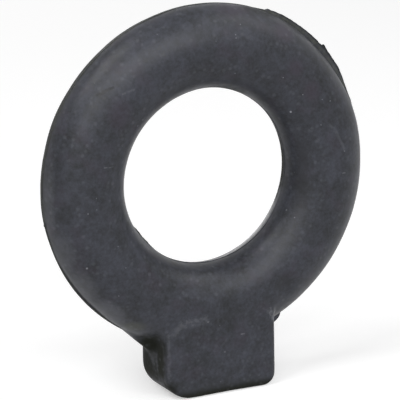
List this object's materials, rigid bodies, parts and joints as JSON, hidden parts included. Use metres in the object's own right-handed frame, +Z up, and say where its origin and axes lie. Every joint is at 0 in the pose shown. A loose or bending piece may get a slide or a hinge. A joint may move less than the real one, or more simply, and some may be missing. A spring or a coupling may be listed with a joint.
{
  "type": "exhaust hanger rubber",
  "caption": "Moulded rubber hanger ring with a square lug, hooked over the pins of exhaust brackets to carry an exhaust pipe.",
  "frame": {"origin": "on the foot of the lug, straight below the middle of the bore", "axes": "+Z up from the lug's foot to the top of the ring; the bore runs along Y and the lug's flat front faces -Y; +X to the right seen from the front"},
  "size_m": [0.06, 0.0114, 0.0682],
  "materials": {
    "rubber": "matte moulded black rubber, slightly dusty"
  },
  "bodies": {
    "root": {"hanger_rubber": "rubber"}
  },
  "joints": []
}
